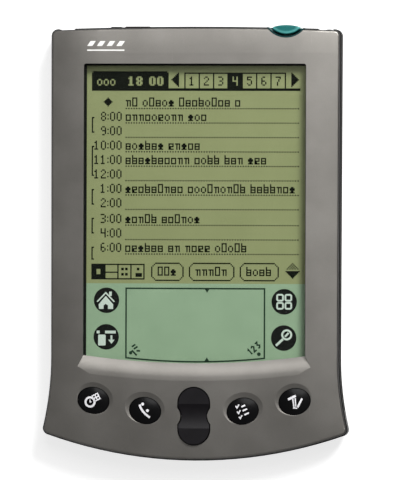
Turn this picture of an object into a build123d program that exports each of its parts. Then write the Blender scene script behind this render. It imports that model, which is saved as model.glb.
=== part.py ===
"""Personal digital assistant, built as an assembly of separate pieces.

Millimetres. The device lies on its back: +Z points out of the screen, +Y towards the top edge, +X to
the right, and the origin is the middle of the flat back.
"""

import os

from build123d import *

os.makedirs("parts", exist_ok=True)

# ---------------------------------------------------------------- overall sizes
body_length = 115.0
waist_width = 77.0
head_widening = 0.4  # the head and the foot are this much wider than the waist
foot_widening = 5.0  # before the foot's corners are rounded
head_crown = 0.75  # rise of the top edge's arc
foot_corner_rise = 7.3  # rise of the lower edge's arc
flare_length = 27.5  # stretch above the lower edge that widens to the foot
corner_radius = 1.8

# ---------------------------------------------------------------- shells and their seam
shell_wall = 0.9
seam_height = 3.8  # the black band seen between the shells
glue_bead = 0.1
reveal = 0.35  # step from the band in to the shells
rim_radius = 0.6  # rounding around the front face
side_flat_margin = 12.5  # the front face starts to roll this far from the sides
side_roll_radius = 75.0
head_flat_margin = 7.0
head_roll_radius = 70.0
foot_roll_radius = 315.0
back_side_margin = 8.5
back_end_margin = 5.5
back_roll_radius = 30.0

# ---------------------------------------------------------------- layers, from the back to the front
battery_tape = 0.15
battery_thickness = 3.5
battery_headroom = 0.25
tray_thickness = 0.6
backlight_thickness = 0.3
polariser_thickness = 0.15
lcd_glass_thickness = 0.55
print_gap = 0.02
print_thickness = 0.08
touch_glass_thickness = 1.05
touch_film_thickness = 0.2
window_depth = 1.55  # from the front face down to the touch film

# ---------------------------------------------------------------- screen window
window_width = 59.2
window_side_length = 77.3
window_sag = 2.04  # the lower edge bows down by this much
window_head_margin = 9.86
window_corner = 0.6
scoop_length = 4.6  # the face dips towards the window's lower edge
scoop_splay = 2.3
scoop_lip = 0.2  # upright edge left at the foot of the scoop
gasket_setback = 0.2
touch_margin = 1.6
gasket_margin = 1.7
lcd_margin = 0.7
lcd_length = 61.1
lcd_ledge = 2.3  # the rear glass runs on past the front glass
print_length = 22.9

# ---------------------------------------------------------------- keys and rocker
key_long_radius = 4.15
key_short_radius = 3.4
key_gap = 0.2
key_tilt = 12.0
key_proud = 0.2
key_dome_radius = 14.0
key_flange = 0.8
key_flange_thickness = 0.6
key_stem_radius = 1.2
key_travel = 0.35
outer_key_x, outer_key_rise = 26.8, 15.85
inner_key_x, inner_key_rise = 13.0, 13.25
dish_reach = 1.27  # the dished ring around a key, as a multiple of the key's radii
dish_depth = 0.55
rocker_lobe_radius = 4.1
rocker_waist_radius = 3.3
rocker_lobe_spacing = 6.8
rocker_gap = 0.3
rocker_rise = 11.85
rocker_proud = 0.15
rocker_pin_radius = 0.5
rocker_pin_gap = 0.05
pin_seat_gap = 0.01
rocker_leg_spacing = 7.2
rocker_leg_width = 1.6
post_width = 1.2
dome_radius = 1.9
dome_height = 0.35
travel_spare = 0.05  # left between a fully pressed stem and its switch
stem_gap = 0.25

# ---------------------------------------------------------------- top edge
power_x = 24.2
notch_radius = 6.17
notch_depth = 2.7
collar_wall = 0.35
power_half_width = 4.1
power_proud = 0.7
power_travel = 0.45
contrast_x = -21.4
contrast_width = 2.9
contrast_travel = 0.4
ir_window_x = -15.7
ir_window_width = 6.75
edge_window_height = 2.6
edge_proud = 0.2
edge_gap = 0.12

# ---------------------------------------------------------------- side rails and stylus
stylus_radius = 2.15
stylus_clearance = 0.15
rail_wall = 0.42
rail_setback = 3.3  # bore centre in from the side
rail_slit = 2.6
rail_foot_rise = 11.5
rail_end_wall = 2.0
frame_gap = 0.05
stylus_wall = 0.6
stylus_cap_length = 9.0
stylus_tip_length = 8.5
stylus_spigot = 4.0
reset_pin_radius = 0.45
reset_pin_length = 11.0

# ---------------------------------------------------------------- frame, board and what it carries
frame_inset = 2.2
tongue_gap = 0.1
board_thickness = 0.8
board_headroom = 1.0  # from the board up to the display tray
board_margin = 0.8
boss_radius = 1.6
screw_radius = 0.7
screw_head_radius = 1.3
screw_head_height = 0.5
screw_grip = 1.3  # reach of a screw into its boss
thread_gap = 0.02
battery_width = 46.0
battery_length = 34.0
battery_left_gap = 2.3
battery_head_margin = 14.5
battery_corner = 1.5
dock_width = 20.0
dock_height = 3.0
dock_depth = 5.0
contact_count = 10
contact_pitch = 1.8
lead_radius = 0.4
hole_gap = 0.15
tongue_depth = 0.3
power_stem_width, power_stem_height = 2.0, 1.7
power_below = 1.8
latch_x, latch_width, latch_height, latch_depth = 15.0, 3.0, 1.6, 1.4
post_depth = 2.6
screw_foot_rise, screw_head_margin = 9.5, 10.7
lcd_flex_width, touch_flex_width, flex_thickness = 20.0, 6.0, 0.12
touch_flex_x = 17.0
flex_slot_gap = 0.4
flex_bend_radius = 0.4
flex_tail = 1.4  # stretch of a flex inside its connector
flex_rise = 0.45  # height at which a flex enters its connector, over the board
touch_flex_sink = 0.3  # the touch flex leaves the panel this far under the film
layer_setback = 0.2  # a display layer's edge in from the layer it lies on
connector_side, connector_depth, connector_height = 0.8, 2.2, 0.9
battery_connector_gap, battery_connector_width, battery_connector_depth = 2.4, 4.0, 3.6
dome_sheet_thickness = 0.1
dome_hole_gap, boss_hole_gap = 0.1, 0.4
power_round, edge_round = 0.5, 0.3
edge_flange_thickness = 0.6
contrast_flange_width, contrast_stem_width, contrast_stem_height = 3.8, 1.6, 1.2
chip_chamfer = 0.15
chip_lead_reach, chip_lead_thickness = 0.9, 0.3
inductor_radius, inductor_waist_radius, inductor_height = 2.2, 1.4, 1.7
inductor_flange, inductor_taper = 0.35, 0.1
crystal_length, crystal_width, crystal_height, crystal_round = 9.0, 3.4, 1.5, 0.4
capacitor_radius, capacitor_height, capacitor_round = 3.4, 1.5, 0.3
screw_slot_width, screw_slot_depth = 0.35, 0.4
key_flange_drop = 0.95
rocker_valley = 0.6
switch_width, switch_depth, switch_plunger, switch_rise = 4.4, 2.2, 0.5, 1.2
contact_width, contact_height, contact_depth = 0.9, 1.7, 0.6
reset_radius = 0.8
speaker_radius, speaker_height = 7.0, 1.2
speaker_hole_ring, speaker_hole_count, speaker_hole_radius = 1.9, 6, 0.45
inductor_y = -2.0

# ---------------------------------------------------------------- what follows from them
half_length = body_length / 2
waist_half_width = waist_width / 2
head_width = waist_width + head_widening
foot_width = waist_width + foot_widening
flare_start_y = -half_length + flare_length
tape_top = shell_wall + battery_tape
battery_top = tape_top + battery_thickness
tray_bottom = battery_top + battery_headroom
tray_top = tray_bottom + tray_thickness
lcd_top = tray_top + backlight_thickness + 2 * polariser_thickness + 2 * lcd_glass_thickness
print_bottom = lcd_top + print_gap
touch_glass_bottom = print_bottom + print_thickness
film_bottom = touch_glass_bottom + touch_glass_thickness
film_top = film_bottom + touch_film_thickness
body_thickness = film_top + window_depth
mid_height = body_thickness / 2
band_bottom = mid_height - seam_height / 2
band_top = mid_height + seam_height / 2
rear_seam = band_bottom - glue_bead
front_seam = band_top + glue_bead
shell_inset = reveal + shell_wall
board_top = tray_bottom - board_headroom
board_bottom = board_top - board_thickness
stem_tip = board_top + dome_height + key_travel + travel_spare

window_half_width = window_width / 2
window_head_y = half_length - window_head_margin
window_corner_y = window_head_y - window_side_length
window_foot_y = window_corner_y - window_sag
lip_bottom = film_top + 0.15
scoop_floor = lip_bottom + scoop_lip

face_flat_half_width = waist_half_width - side_flat_margin
head_flat_y = half_length - head_flat_margin
foot_flat_y = flare_start_y

rail_bore_radius = stylus_radius + stylus_clearance
rail_x = waist_half_width - rail_setback
rail_inner_x = rail_x - rail_bore_radius - rail_wall
rail_foot_y = -half_length + rail_foot_rise

touch_half_width = window_half_width + touch_margin
touch_head_y = window_head_y + touch_margin
touch_foot_y = window_foot_y - touch_margin - 0.2
lcd_half_width = window_half_width + lcd_margin
lcd_head_y = window_head_y + 0.3
lcd_foot_y = lcd_head_y - lcd_length
ledge_foot_y = lcd_foot_y - lcd_ledge

rocker_y = -half_length + rocker_rise
pin_z = tray_top + 1.8
rail_mouth_y = half_length - 6
rail_half_height = rail_bore_radius + rail_wall
screw_x = rail_inner_x - 3.9
collar_top = body_thickness - 0.6
power_floor = band_bottom + 0.65
power_cap_top = body_thickness - 0.45
lcd_flex_drop_y = ledge_foot_y - 0.75
touch_flex_drop_y = touch_foot_y - 0.8
board_head_y = half_length - frame_inset - 1.8
battery_left_x = -rail_inner_x + battery_left_gap
battery_right_x = battery_left_x + battery_width
battery_head_y = half_length - battery_head_margin
battery_foot_y = battery_head_y - battery_length
reset_tip = shell_wall + 1.0


def fall(run, radius):
    """Drop of an arc of the given radius, run away from where it is level."""
    run = max(run, 0)
    return radius - (radius**2 - run**2) ** 0.5


def face_height(x, y):
    """Height of the front face below the window, over a point in plan."""
    side = fall(abs(x) - face_flat_half_width, side_roll_radius)
    return body_thickness - side - fall(foot_flat_y - y, foot_roll_radius)


def head_edge(x):
    """Y of the top edge's arc at x."""
    half = head_width / 2
    radius = (half**2 + head_crown**2) / (2 * head_crown)
    return half_length - fall(abs(x), radius)


def foot_edge(x):
    """Y of the lower edge's arc at x."""
    half = foot_width / 2
    radius = (half**2 + foot_corner_rise**2) / (2 * foot_corner_rise)
    return -half_length + fall(abs(x), radius)


def outline(inset, z):
    """Plan outline of the body drawn in by inset, as a face at height z."""
    with BuildSketch(Plane.XY.offset(z)) as plan:
        with BuildLine():
            head_corner = (head_width / 2, half_length - head_crown)
            foot_corner = (foot_width / 2, -half_length + foot_corner_rise)
            TangentArc((0, half_length), head_corner, tangent=(1, 0))
            flank = Line(head_corner, (waist_half_width, flare_start_y))
            TangentArc(flank @ 1, foot_corner, tangent=flank % 1)
            TangentArc((0, -half_length), foot_corner, tangent=(1, 0))
            mirror(about=Plane.YZ)
        make_face()
        if inset:
            offset(amount=-inset, kind=Kind.INTERSECTION)
        if inset < corner_radius - 0.1:
            corners = plan.vertices().filter_by(lambda v: abs(v.Y) > -flare_start_y + 1)
            fillet(corners, corner_radius - inset)
    return plan.sketch


def window(grow, z):
    """Plan of the screen window drawn out by grow, as a face at height z."""
    with BuildSketch(Plane.XY.offset(z)) as plan:
        with BuildLine():
            Polyline(
                (-window_half_width, window_corner_y),
                (-window_half_width, window_head_y),
                (window_half_width, window_head_y),
                (window_half_width, window_corner_y),
            )
            ThreePointArc(
                (-window_half_width, window_corner_y),
                (0, window_foot_y),
                (window_half_width, window_corner_y),
            )
        make_face()
        fillet(plan.vertices().group_by(Axis.Y)[-1], window_corner)
        if grow:
            offset(amount=grow)
    return plan.sketch


def rolled_slab(face_z, up, side_flat, side_radius, head_flat, head_radius, foot_flat, foot_radius):
    """A slab with one face, upper (up=1) or lower (up=-1), that is flat in the middle and rolls away
    to both sides and both ends."""
    reach_x = foot_width / 2 + 2
    reach_y = half_length + 2
    head_drop = up * fall(reach_y - head_flat, head_radius)
    foot_drop = up * fall(reach_y + foot_flat, foot_radius)
    side_drop = up * fall(reach_x - side_flat, side_radius)
    with BuildLine(Plane.YZ) as spine:
        level = Line((head_flat, face_z), (foot_flat, face_z))
        TangentArc(level @ 0, (reach_y, face_z - head_drop), tangent=-(level % 0))
        TangentArc(level @ 1, (-reach_y, face_z - foot_drop), tangent=level % 1)
    path = spine.wire()
    with BuildSketch(Plane(origin=path @ 0, x_dir=(1, 0, 0), z_dir=path % 0)) as section:
        with BuildLine():
            flat = Line((0, 0), (side_flat, 0))
            roll = TangentArc(flat @ 1, (reach_x, -side_drop), tangent=(1, 0))
            Polyline(roll @ 1, (reach_x, -up * body_thickness), (0, -up * body_thickness))
            mirror(about=Plane.YZ)
        make_face()
    with BuildPart() as slab:
        sweep(sections=section.sketch, path=path)
    return slab.part


def front_slab(face_z):
    """The front face's form with its face at face_z."""
    return rolled_slab(
        face_z, 1,
        face_flat_half_width, side_roll_radius,
        head_flat_y, head_roll_radius,
        foot_flat_y, foot_roll_radius,
    )


def back_slab(face_z):
    """The back's form with its face at face_z."""
    return rolled_slab(
        face_z, -1,
        waist_half_width - back_side_margin, back_roll_radius,
        half_length - back_end_margin, back_roll_radius,
        -half_length + back_end_margin, back_roll_radius,
    )


def box_between(low, high, mode=Mode.ADD):
    """A box in the active builder, between two opposite corners."""
    size = [abs(b - a) for a, b in zip(low, high)]
    middle = [(a + b) / 2 for a, b in zip(low, high)]
    with Locations(tuple(middle)):
        return Box(*size, mode=mode)


def band_block(x, width, y_low, y_high, height, mode=Mode.ADD):
    """A box in the active builder, centred on x and on the body's mid height."""
    return box_between(
        (x - width / 2, y_low, mid_height - height / 2),
        (x + width / 2, y_high, mid_height + height / 2),
        mode,
    )


def rod(start, direction, radius, length, mode=Mode.ADD):
    """A cylinder in the active builder that runs from start along direction."""
    with Locations(Plane(origin=start, z_dir=direction)):
        return Cylinder(radius, length, align=(Align.CENTER, Align.CENTER, Align.MIN), mode=mode)


keys = {
    "calendar_button": (-outer_key_x, -half_length + outer_key_rise, -key_tilt),
    "phone_button": (-inner_key_x, -half_length + inner_key_rise, -key_tilt),
    "task_button": (inner_key_x, -half_length + inner_key_rise, key_tilt),
    "note_button": (outer_key_x, -half_length + outer_key_rise, key_tilt),
}
power_edge_y = head_edge(power_x)
notch_y = power_edge_y - notch_depth + notch_radius
pocket_radius = notch_radius - frame_gap - collar_wall
contrast_edge_y = head_edge(contrast_x)
ir_edge_y = head_edge(ir_window_x)
dock_face_y = foot_edge(dock_width / 2)
dock_back_y = dock_face_y + dock_depth
board_foot_y = dock_back_y + frame_gap
dome_sheet_head_y = touch_flex_drop_y - 4.4


def rocker_plan(grow, z):
    """Hourglass plan of the rocker drawn out by grow, as a face at height z."""
    lobe = rocker_lobe_radius + grow
    waist = rocker_waist_radius + grow
    half = rocker_lobe_spacing / 2
    cheek = (half**2 + waist**2 - lobe**2) / (2 * (lobe - waist))
    with BuildSketch(Plane.XY.offset(z)) as plan:
        with Locations((0, rocker_y)):
            Rectangle(2 * lobe, 2 * half)
            with Locations((-waist - cheek, 0), (waist + cheek, 0)):
                Circle(cheek, mode=Mode.SUBTRACT)
            with Locations((0, -half), (0, half)):
                Circle(lobe)
    return plan.sketch


# ================================================================ shells
front_form = front_slab(body_thickness)
front_hollow_form = front_slab(body_thickness - shell_wall)
back_form = back_slab(0)
back_hollow_form = back_slab(shell_wall)

with BuildPart() as front_hollow:
    extrude(outline(shell_inset, front_seam - 1), amount=body_thickness)
    add(front_hollow_form, mode=Mode.INTERSECT)

with BuildPart() as back_hollow:
    extrude(outline(shell_inset, 0), amount=rear_seam + 1)
    add(back_hollow_form, mode=Mode.INTERSECT)

# The dip towards the window's lower edge turns about the centre of that edge's arc.
scoop_arc_radius = (window_half_width**2 + window_sag**2) / (2 * window_sag)
crest_y = window_foot_y - scoop_length
with BuildPart() as scoop:
    with BuildSketch(Plane.YZ):
        with BuildLine():
            crest = (crest_y, face_height(0, crest_y))
            ramp = TangentArc(crest, (window_foot_y, scoop_floor), tangent=(1, 0))
            Polyline(
                ramp @ 1,
                (window_foot_y + 1, scoop_floor),
                (window_foot_y + 1, body_thickness + 1),
                (crest_y, body_thickness + 1),
                crest,
            )
        make_face()
    revolve(axis=Axis((0, window_foot_y + scoop_arc_radius, 0), (0, 0, 1)))
    with BuildSketch(Plane.XY.offset(mid_height)):
        with BuildLine():
            Polyline(
                (0, window_corner_y + 2),
                (window_half_width, window_corner_y + 2),
                (window_half_width, window_corner_y),
                (window_half_width + scoop_splay, window_corner_y - scoop_length),
                (window_half_width + 1.2 * scoop_splay, crest_y - 2),
                (0, crest_y - 2),
            )
            mirror(about=Plane.YZ)
        make_face()
    extrude(amount=body_thickness, mode=Mode.INTERSECT)

with BuildPart() as lip:
    with BuildSketch(Plane.XY.offset(lip_bottom)):
        with Locations((0, crest_y - 1.5)):
            Rectangle(
                2 * (window_half_width + 4),
                window_corner_y - crest_y + 1.5,
                align=(Align.CENTER, Align.MIN),
            )
    extrude(amount=body_thickness - shell_wall + 0.2 - lip_bottom)

# A shallow ellipsoid bowl, which the face carries around each key.
bowl_rise = 0.89
bowl_height = dish_depth / (1 - bowl_rise)
bowl_reach = dish_reach / (1 - bowl_rise**2) ** 0.5
dish_form = scale(
    Sphere(1), by=(key_long_radius * bowl_reach, key_short_radius * bowl_reach, bowl_height)
)

with BuildPart() as front_shell:
    extrude(outline(reveal, front_seam), amount=body_thickness)
    add(front_form, mode=Mode.INTERSECT)
    sides = front_shell.faces().filter_by(lambda f: abs(f.normal_at().Z) < 0.1)
    rim = sides.edges().filter_by(lambda e: e.center().Z > front_seam + 0.1 and abs((e % 0.5).Z) < 0.5)
    fillet(rim, rim_radius)
    add(front_hollow.part, mode=Mode.SUBTRACT)
    add(lip.part)
    extrude(window(0, 0), amount=body_thickness + 1, mode=Mode.SUBTRACT)
    add(scoop.part, mode=Mode.SUBTRACT)
    for x, y, tilt in keys.values():
        with Locations(Location((x, y, face_height(x, y) + bowl_rise * bowl_height), (0, 0, tilt))):
            add(dish_form, mode=Mode.SUBTRACT)
        with BuildSketch(Plane.XY.offset(mid_height)):
            with Locations(Location((x, y), tilt)):
                Ellipse(key_long_radius + key_gap, key_short_radius + key_gap)
        extrude(amount=body_thickness, mode=Mode.SUBTRACT)
    extrude(rocker_plan(rocker_gap, mid_height), amount=body_thickness, mode=Mode.SUBTRACT)
    rod((power_x, notch_y, band_bottom), (0, 0, 1), notch_radius, body_thickness, Mode.SUBTRACT)
    for x in (-rail_x, rail_x):
        rod((x, rail_mouth_y, mid_height), (0, 1, 0), rail_bore_radius, 10, Mode.SUBTRACT)
front_shell.part.label = "front_shell"
export_step(front_shell.part, "parts/front_shell.step")

reset_y = -half_length + 19.5
speaker_x, speaker_y = -20.0, -half_length + 33.5
with BuildPart() as rear_shell:
    extrude(outline(reveal, -1), amount=rear_seam + 1)
    add(back_form, mode=Mode.INTERSECT)
    add(back_hollow.part, mode=Mode.SUBTRACT)
    for x in (-rail_x, rail_x):
        rod((x, rail_mouth_y, mid_height), (0, 1, 0), rail_bore_radius, 10, Mode.SUBTRACT)
    rod((0, reset_y, -1), (0, 0, 1), reset_radius + hole_gap, 3, Mode.SUBTRACT)
    with Locations((speaker_x, speaker_y)):
        with PolarLocations(speaker_hole_ring, speaker_hole_count):
            Cylinder(speaker_hole_radius, 4, mode=Mode.SUBTRACT)
        Cylinder(speaker_hole_radius, 4, mode=Mode.SUBTRACT)
rear_shell.part.label = "rear_shell"
export_step(rear_shell.part, "parts/rear_shell.step")

for name, glue_z in {"front_adhesive": band_top, "rear_adhesive": rear_seam}.items():
    with BuildPart() as glue:
        extrude(outline(reveal + glue_bead, glue_z), amount=glue_bead)
        extrude(outline(shell_inset - glue_bead, glue_z), amount=glue_bead, mode=Mode.SUBTRACT)
        rod((power_x, notch_y, band_top - 0.05), (0, 0, 1), notch_radius, 1, Mode.SUBTRACT)
        for x in (-rail_x, rail_x):
            box_between(
                (x - rail_bore_radius, rail_mouth_y, 0),
                (x + rail_bore_radius, body_length, body_thickness),
                Mode.SUBTRACT,
            )
    glue.part.label = name
    export_step(glue.part, f"parts/{name}.step")

# ================================================================ frame and rails
screw_points = [
    (side * screw_x, y)
    for side in (-1, 1)
    for y in (-half_length + screw_foot_rise, half_length - screw_head_margin)
]
leg_points = [rocker_y - rocker_leg_spacing / 2, rocker_y + rocker_leg_spacing / 2]
post_x = rocker_waist_radius + stem_gap
post_top = pin_z + 1.0
pin_start = (-post_x - post_width, rocker_y, pin_z)
pin_length = 2 * (post_x + post_width)

with BuildPart() as mid_frame:
    extrude(outline(0, band_bottom), amount=seam_height)
    tongue_height = seam_height + 2 * tongue_depth
    extrude(outline(shell_inset + tongue_gap, band_bottom - tongue_depth), amount=tongue_height)
    extrude(outline(frame_inset, 0), amount=body_thickness, mode=Mode.SUBTRACT)
    extrude(outline(frame_inset, tray_bottom), amount=tray_thickness)
    # rim that carries the touch glass
    box_between(
        (-touch_half_width, touch_foot_y - 0.1, tray_top),
        (touch_half_width, touch_head_y + 0.1, touch_glass_bottom - frame_gap),
    )
    box_between(
        (-lcd_half_width - 0.2, touch_foot_y + 1, tray_top),
        (lcd_half_width + 0.2, lcd_head_y + 0.2, touch_glass_bottom),
        Mode.SUBTRACT,
    )
    # collar around the power button, flush with the top edge
    with BuildSketch(Plane.XY.offset(band_bottom)):
        add(outline(0, 0))
        with Locations((power_x, notch_y)):
            Circle(notch_radius - frame_gap, mode=Mode.INTERSECT)
    extrude(amount=collar_top - band_bottom)
    rod((power_x, notch_y, power_floor), (0, 0, 1), pocket_radius, body_thickness, Mode.SUBTRACT)
    # rails' seats
    for side in (-1, 1):
        box_between(
            (side * (rail_inner_x - frame_gap), rail_foot_y - frame_gap, 0),
            (side * foot_width, half_length + 1, body_thickness),
            Mode.SUBTRACT,
        )
    # room for what stands on the board's top strip
    box_between(
        (contrast_x - 3, touch_head_y + 0.4, tray_bottom),
        (power_x + 3.2, half_length - frame_inset - 0.6, tray_top),
        Mode.SUBTRACT,
    )
    # openings in the top edge
    band_block(
        power_x, power_stem_width + 2 * hole_gap,
        notch_y - notch_radius - 3, notch_y,
        power_stem_height + 2 * hole_gap, Mode.SUBTRACT,
    )
    for x, width in ((contrast_x, contrast_width), (ir_window_x, ir_window_width)):
        band_block(
            x, width + 2 * edge_gap,
            half_length - frame_inset - 1, half_length + 1,
            edge_window_height + 2 * edge_gap, Mode.SUBTRACT,
        )
    # docking connector and its latch slots
    band_block(
        0, dock_width + 2 * frame_gap,
        -half_length - 1, dock_back_y + frame_gap,
        dock_height + 2 * frame_gap, Mode.SUBTRACT,
    )
    for x in (-latch_x, latch_x):
        latch_floor = foot_edge(latch_x) + latch_depth
        band_block(x, latch_width, -half_length - 1, latch_floor, latch_height, Mode.SUBTRACT)
    # guides for the keys' stems and the rocker's legs, and slots for the flexible circuits
    for x, y, tilt in keys.values():
        rod((x, y, 0), (0, 0, 1), key_stem_radius + stem_gap, body_thickness, Mode.SUBTRACT)
    for y in leg_points:
        box_between(
            (-rocker_leg_width / 2 - stem_gap, y - rocker_leg_width / 2 - stem_gap, 0),
            (rocker_leg_width / 2 + stem_gap, y + rocker_leg_width / 2 + stem_gap, body_thickness),
            Mode.SUBTRACT,
        )
    lcd_slot = (0, lcd_flex_width / 2 + flex_slot_gap, lcd_flex_drop_y)
    touch_slot = (touch_flex_x, touch_flex_width / 2 + flex_slot_gap, touch_flex_drop_y)
    for x, half, y in (lcd_slot, touch_slot):
        box_between(
            (x - half, y - flex_slot_gap, tray_bottom),
            (x + half, y + flex_slot_gap, tray_top),
            Mode.SUBTRACT,
        )
    # rocker's pivot posts
    for side in (-1, 1):
        box_between(
            (side * post_x, rocker_y - post_depth / 2, tray_top),
            (side * (post_x + post_width), rocker_y + post_depth / 2, post_top),
        )
    rod(pin_start, (1, 0, 0), rocker_pin_radius + pin_seat_gap, pin_length, Mode.SUBTRACT)
    # bosses that the board is screwed to
    for x, y in screw_points:
        rod((x, y, board_top), (0, 0, 1), boss_radius, board_headroom + tray_thickness)
        rod((x, y, board_top), (0, 0, 1), screw_radius + thread_gap, screw_grip + 0.1, Mode.SUBTRACT)
mid_frame.part.label = "mid_frame"
export_step(mid_frame.part, "parts/mid_frame.step")

rail_bore_foot_y = rail_foot_y + rail_end_wall
for name, side in {"left_rail": -1, "right_rail": 1}.items():
    with BuildPart() as rail:
        # the tube's wall inside the shells
        extrude(
            outline(shell_inset + tongue_gap, mid_height - rail_half_height),
            amount=2 * rail_half_height,
        )
        box_between(
            (side * rail_inner_x, rail_foot_y, 0),
            (side * (waist_half_width - shell_inset - tongue_gap), half_length, body_thickness),
            Mode.INTERSECT,
        )
        # the neck that shows between them
        with BuildSketch(Plane.XY.offset(band_bottom)):
            add(outline(0, 0))
            with Locations((side * (rail_x + foot_width) / 2, (rail_foot_y + half_length + 1) / 2)):
                Rectangle(
                    foot_width - rail_x, half_length + 1 - rail_foot_y, mode=Mode.INTERSECT
                )
        extrude(amount=seam_height)
        bore_foot = (side * rail_x, rail_bore_foot_y, mid_height)
        rod(bore_foot, (0, 1, 0), rail_bore_radius, body_length, Mode.SUBTRACT)
        box_between(
            (side * rail_x, rail_bore_foot_y, mid_height - rail_slit / 2),
            (side * foot_width, half_length + 1, mid_height + rail_slit / 2),
            Mode.SUBTRACT,
        )
    rail.part.label = name
    export_step(rail.part, f"parts/{name}.step")

# ================================================================ screen
with BuildPart() as screen_gasket:
    extrude(window(gasket_margin, film_top), amount=window_depth)
    extrude(window(gasket_setback, film_top), amount=window_depth, mode=Mode.SUBTRACT)
    add(front_hollow_form, mode=Mode.INTERSECT)
    add(lip.part, mode=Mode.SUBTRACT)
screen_gasket.part.label = "screen_gasket"
export_step(screen_gasket.part, "parts/screen_gasket.step")

rear_glass_top = tray_top + backlight_thickness + polariser_thickness + lcd_glass_thickness
panels = {  # half width, foot, head, underside, thickness
    "backlight_panel": (lcd_half_width, lcd_foot_y, lcd_head_y, tray_top, backlight_thickness),
    "lcd_rear_polariser": (
        lcd_half_width - layer_setback, lcd_foot_y + layer_setback, lcd_head_y - layer_setback,
        tray_top + backlight_thickness, polariser_thickness,
    ),
    "lcd_rear_glass": (
        lcd_half_width, ledge_foot_y, lcd_head_y,
        rear_glass_top - lcd_glass_thickness, lcd_glass_thickness,
    ),
    "lcd_front_glass": (lcd_half_width, lcd_foot_y, lcd_head_y, rear_glass_top, lcd_glass_thickness),
    "lcd_front_polariser": (
        lcd_half_width - layer_setback, lcd_foot_y + layer_setback, lcd_head_y - layer_setback,
        lcd_top - polariser_thickness, polariser_thickness,
    ),
    "writing_area_print": (
        lcd_half_width, touch_foot_y + 1.1, touch_foot_y + print_length,
        print_bottom, print_thickness,
    ),
    "touch_glass": (
        touch_half_width, touch_foot_y, touch_head_y,
        touch_glass_bottom, touch_glass_thickness,
    ),
    "touch_film": (
        touch_half_width - 0.1, touch_foot_y + 0.1, touch_head_y - 0.1,
        film_bottom, touch_film_thickness,
    ),
}
for name, (half_width, foot_y, head_y, underside, thickness) in panels.items():
    with BuildPart() as panel:
        box_between((-half_width, foot_y, underside), (half_width, head_y, underside + thickness))
    panel.part.label = name
    export_step(panel.part, f"parts/{name}.step")

flexes = {  # centre, width, and the route in the YZ plane
    "lcd_flex": (0, lcd_flex_width, [
        (lcd_foot_y - 0.3, rear_glass_top + flex_thickness / 2),
        (lcd_flex_drop_y, rear_glass_top + flex_thickness / 2),
        (lcd_flex_drop_y, board_top + flex_rise),
        (lcd_flex_drop_y - flex_tail, board_top + flex_rise),
    ]),
    "touch_flex": (touch_flex_x, touch_flex_width, [
        (touch_foot_y, film_bottom - touch_flex_sink),
        (touch_flex_drop_y, film_bottom - touch_flex_sink),
        (touch_flex_drop_y, board_top + flex_rise),
        (touch_flex_drop_y - flex_tail, board_top + flex_rise),
    ]),
}
for name, (x, width, route) in flexes.items():
    with BuildPart() as flex:
        with BuildSketch(Plane.YZ.offset(x)):
            with BuildLine():
                FilletPolyline(*route, radius=flex_bend_radius)
            trace(line_width=flex_thickness)
        extrude(amount=width / 2, both=True)
    flex.part.label = name
    export_step(flex.part, f"parts/{name}.step")

with BuildPart() as flex_connectors:
    for x, width, route in flexes.values():
        box_between(
            (x - width / 2 - connector_side, route[-1][0] - connector_depth, board_top),
            (x + width / 2 + connector_side, route[-1][0], board_top + connector_height),
        )
flex_connectors.part.label = "flex_connectors"
export_step(flex_connectors.part, "parts/flex_connectors.step")

# ================================================================ keys, rocker and their switches
for name, (x, y, tilt) in keys.items():
    cap_top = face_height(x, y) + key_proud
    flange_top = body_thickness - shell_wall - key_flange_drop
    with BuildPart() as key:
        with BuildSketch(Plane.XY.offset(flange_top - key_flange_thickness)):
            with Locations(Location((x, y), tilt)):
                Ellipse(key_long_radius + key_flange, key_short_radius + key_flange)
        extrude(amount=key_flange_thickness)
        with BuildSketch(Plane.XY.offset(flange_top - key_flange_thickness)):
            with Locations(Location((x, y), tilt)):
                Ellipse(key_long_radius, key_short_radius)
        extrude(amount=cap_top - flange_top + key_flange_thickness)
        rod((x, y, stem_tip), (0, 0, 1), key_stem_radius, flange_top - stem_tip)
        with Locations((x, y, cap_top - key_dome_radius)):
            Sphere(key_dome_radius, mode=Mode.INTERSECT)
    key.part.label = name
    export_step(key.part, f"parts/{name}.step")

rocker_top = face_height(0, rocker_y) + rocker_proud
valley_radius = 9.0
with BuildPart() as scroll_rocker:
    extrude(rocker_plan(0, pin_z + 1.25), amount=rocker_top - pin_z - 1.25)
    valley_start = (-foot_width / 2, rocker_y, rocker_top + valley_radius - rocker_valley)
    rod(valley_start, (1, 0, 0), valley_radius, foot_width, Mode.SUBTRACT)
    box_between(
        (-post_x + stem_gap + 0.1, leg_points[0] - rocker_leg_width / 2, pin_z - 1),
        (post_x - stem_gap - 0.1, leg_points[1] + rocker_leg_width / 2, pin_z + 1.25),
    )
    for y in leg_points:
        box_between(
            (-rocker_leg_width / 2, y - rocker_leg_width / 2, stem_tip),
            (rocker_leg_width / 2, y + rocker_leg_width / 2, pin_z),
        )
    rod(pin_start, (1, 0, 0), rocker_pin_radius + rocker_pin_gap, pin_length, Mode.SUBTRACT)
scroll_rocker.part.label = "scroll_rocker"
export_step(scroll_rocker.part, "parts/scroll_rocker.step")

with BuildPart() as rocker_pin:
    rod(pin_start, (1, 0, 0), rocker_pin_radius, pin_length)
rocker_pin.part.label = "rocker_pin"
export_step(rocker_pin.part, "parts/rocker_pin.step")

dome_points = [(x, y) for x, y, tilt in keys.values()] + [(0, y) for y in leg_points]
dome_sphere = (dome_radius**2 + dome_height**2) / (2 * dome_height)
with BuildPart() as dome_switches:
    with Locations(*[(x, y, board_top + dome_height - dome_sphere) for x, y in dome_points]):
        Sphere(dome_sphere)
    box_between(
        (-foot_width, -body_length, board_top), (foot_width, body_length, body_thickness), Mode.INTERSECT
    )
dome_switches.part.label = "dome_switches"
export_step(dome_switches.part, "parts/dome_switches.step")

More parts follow.
